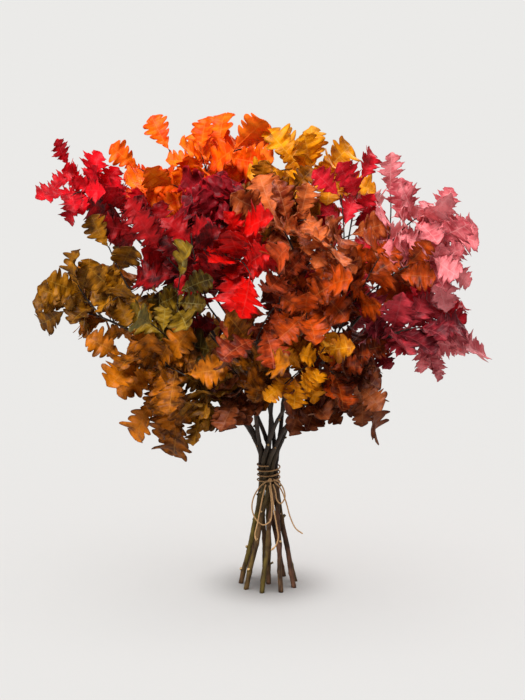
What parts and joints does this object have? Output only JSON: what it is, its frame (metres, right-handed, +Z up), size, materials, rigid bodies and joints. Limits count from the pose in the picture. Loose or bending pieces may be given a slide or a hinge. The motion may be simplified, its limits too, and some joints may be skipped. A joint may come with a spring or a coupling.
{
  "type": "bouquet of autumn oak branches",
  "caption": "Hand-tied bunch of cut oak branches in red, orange, yellow, olive and pink autumn leaf, bound with a twine bow and standing on its splayed stem ends.",
  "frame": {"origin": "middle of the centre stem's cut end, on the surface that the bunch stands on", "axes": "+Z up along the centre stem, front towards -Y, +X to the right of the front"},
  "size_m": [0.6982, 0.5016, 0.7535],
  "materials": {
    "brown_leaf": "satin",
    "burgundy_leaf": "satin",
    "coral_leaf": "satin",
    "crimson_leaf": "satin",
    "khaki_leaf": "satin",
    "ochre_leaf": "satin",
    "olive_leaf": "satin",
    "orange_leaf": "satin",
    "pink_leaf": "satin",
    "raspberry_leaf": "satin",
    "red_leaf": "satin",
    "rust_leaf": "satin",
    "scarlet_leaf": "satin",
    "terracotta_leaf": "satin",
    "wine_leaf": "satin",
    "yellow_leaf": "satin",
    "oak_bark": "matte",
    "jute_twine": "matte"
  },
  "bodies": {
    "root": {"stem_pink": "oak_bark", "stem_yellow": "oak_bark", "stem_orange": "oak_bark", "stem_red": "oak_bark", "stem_olive": "oak_bark", "stem_ochre": "oak_bark", "stem_crimson": "oak_bark", "stem_brown": "oak_bark", "stem_wine": "oak_bark", "stem_terracotta": "oak_bark", "spray_red_1": "red_leaf", "spray_red_2": "red_leaf", "spray_orange_1": "orange_leaf", "spray_orange_2": "orange_leaf", "spray_orange_3": "orange_leaf", "spray_burgundy_1": "burgundy_leaf", "spray_crimson_1": "crimson_leaf", "spray_crimson_2": "crimson_leaf", "spray_scarlet_1": "scarlet_leaf", "spray_olive_1": "olive_leaf", "spray_olive_2": "olive_leaf", "spray_khaki_1": "khaki_leaf", "spray_ochre_1": "ochre_leaf", "spray_ochre_2": "ochre_leaf", "spray_ochre_3": "ochre_leaf", "spray_olive_3": "olive_leaf", "spray_yellow_1": "yellow_leaf", "spray_ochre_4": "ochre_leaf", "spray_terracotta_1": "terracotta_leaf", "spray_coral_1": "coral_leaf", "spray_rust_1": "rust_leaf", "spray_terracotta_2": "terracotta_leaf", "spray_raspberry_1": "raspberry_leaf", "spray_pink_1": "pink_leaf", "spray_pink_2": "pink_leaf", "spray_pink_3": "pink_leaf", "spray_rust_2": "rust_leaf", "spray_wine_1": "wine_leaf", "spray_raspberry_2": "raspberry_leaf", "spray_pink_4": "pink_leaf", "spray_brown_1": "brown_leaf", "spray_brown_2": "brown_leaf", "spray_rust_3": "rust_leaf", "spray_yellow_2": "yellow_leaf", "spray_ochre_5": "ochre_leaf", "spray_brown_3": "brown_leaf", "spray_red_3": "red_leaf", "spray_olive_4": "olive_leaf", "spray_rust_4": "rust_leaf", "spray_pink_5": "pink_leaf", "spray_wine_2": "wine_leaf", "spray_brown_4": "brown_leaf", "spray_rust_5": "rust_leaf", "twine_wrap": "jute_twine", "twine_bow_loop_left": "jute_twine", "twine_bow_loop_right": "jute_twine", "twine_tail_left": "jute_twine", "twine_tail_middle": "jute_twine", "twine_tail_right": "jute_twine", "twine_knot": "jute_twine"}
  },
  "joints": []
}
